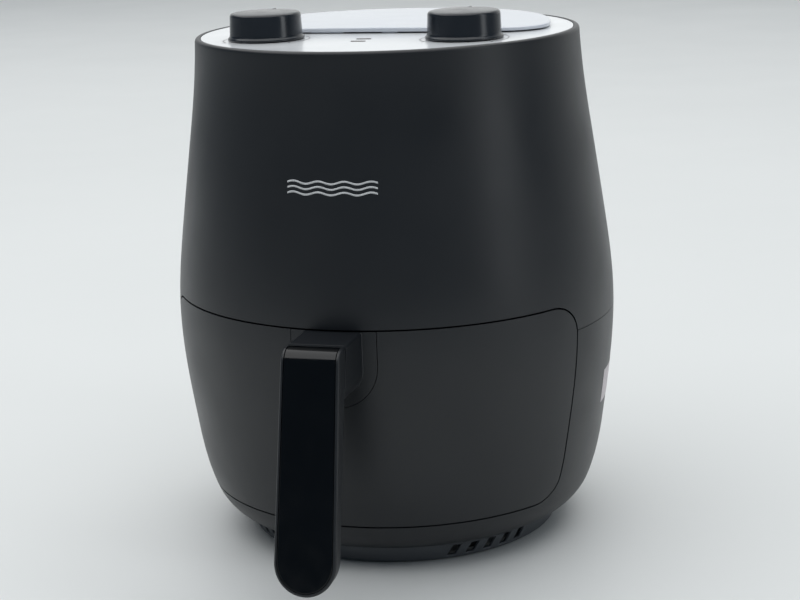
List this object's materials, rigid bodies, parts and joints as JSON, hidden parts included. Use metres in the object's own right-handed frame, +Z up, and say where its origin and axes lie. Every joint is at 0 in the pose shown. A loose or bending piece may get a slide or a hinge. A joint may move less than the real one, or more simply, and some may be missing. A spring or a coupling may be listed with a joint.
{
  "type": "air fryer",
  "caption": "Round basket air fryer with a tapering black body, pull-out pan drawer with a hanging handle, two rotary dials and a raised air inlet cover on top.",
  "frame": {"origin": "bottom centre of the whole object, on the plane of the feet; the round body's axis stands 35 mm behind it", "axes": "+Z up, -Y towards the front where the drawer opens, +X to the right seen from the front"},
  "size_m": [0.27, 0.34, 0.323],
  "materials": {
    "satin_black_shell": "satin moulded black",
    "matt_black_plastic": "matt moulded black",
    "gloss_black": "high gloss black",
    "gloss_white": "high gloss cool white",
    "smoked_lens": "smoked lens",
    "rubber": "soft matt",
    "silicone": "soft matt",
    "nonstick_coating": "satin non-stick coating",
    "chamber_steel": "dull plated sheet",
    "bright_steel": "bright sheet",
    "element_steel": "heat-darkened tube",
    "insulator": "cream insulating resin",
    "motor_steel": "laminated steel"
  },
  "bodies": {
    "housing": {"upper_housing": "satin_black_shell", "lower_housing": "satin_black_shell", "base_cover": "matt_black_plastic", "foot_front_left": "rubber", "base_screw_front_left": "bright_steel", "foot_front_right": "rubber", "base_screw_front_right": "bright_steel", "foot_rear_right": "rubber", "base_screw_rear_right": "bright_steel", "foot_rear_left": "rubber", "base_screw_rear_left": "bright_steel", "cord_gland": "matt_black_plastic", "terminal_block": "insulator", "top_panel": "gloss_white", "air_inlet_cover": "gloss_white", "air_inlet_grille": "matt_black_plastic", "power_light": "smoked_lens", "heating_light": "smoked_lens", "control_bracket": "bright_steel", "thermostat": "insulator", "timer": "bright_steel", "timer_bell": "bright_steel", "cooking_chamber": "chamber_steel", "chamber_ceiling": "chamber_steel", "rail_left": "chamber_steel", "rail_right": "chamber_steel", "heat_reflector": "bright_steel", "heating_element": "element_steel", "element_guard": "bright_steel", "thermal_fuse": "insulator", "exhaust_duct": "chamber_steel", "exhaust_vent": "matt_black_plastic", "motor_bracket": "bright_steel", "motor": "motor_steel", "drawer_switch": "matt_black_plastic"},
    "drawer": {"drawer_front": "satin_black_shell", "drawer_inner_cover": "matt_black_plastic", "pan": "nonstick_coating", "handle_plate": "satin_black_shell", "handle_neck": "satin_black_shell", "handle_grip": "satin_black_shell", "handle_face": "gloss_black", "handle_screw_lower": "bright_steel", "handle_screw_upper": "bright_steel", "switch_striker": "matt_black_plastic"},
    "crisper_tray": {"crisper_tray": "nonstick_coating", "tray_pad_1": "silicone", "tray_pad_2": "silicone", "tray_pad_3": "silicone", "tray_pad_4": "silicone"},
    "temperature_dial": {"temperature_knob": "gloss_black", "temperature_shaft": "bright_steel"},
    "timer_dial": {"timer_knob": "gloss_black", "timer_shaft": "bright_steel"},
    "fan_rotor": {"motor_shaft": "bright_steel", "hot_air_fan": "bright_steel", "cooling_fan": "bright_steel", "fan_nut": "bright_steel"},
    "switch_plunger": {"switch_plunger": "insulator"}
  },
  "joints": [
    {"name": "drawer_slide", "type": "slide", "parent": "housing", "child": "drawer", "axis": [0, -1, 0], "range_m": [0, 0.25]},
    {"name": "tray_lift", "type": "slide", "parent": "drawer", "child": "crisper_tray", "axis": [0, 0, 1], "range_m": [0, 0.093]},
    {"name": "temperature_turn", "type": "hinge", "parent": "housing", "child": "temperature_dial", "pos_m": [-0.06, -0.014, 0.306], "axis": [0, 0, -1], "range_deg": [0, 270]},
    {"name": "timer_turn", "type": "hinge", "parent": "housing", "child": "timer_dial", "pos_m": [0.06, -0.014, 0.306], "axis": [0, 0, -1], "range_deg": [0, 300]},
    {"name": "fan_spin", "type": "hinge", "parent": "housing", "child": "fan_rotor", "pos_m": [0, 0.035, 0.2], "axis": [0, 0, 1], "continuous": true},
    {"name": "plunger_travel", "type": "slide", "parent": "housing", "child": "switch_plunger", "axis": [0, 1, 0], "range_m": [0, 0.0015], "stiffness_N_per_m": 200, "springref_m": -0.002}
  ]
}
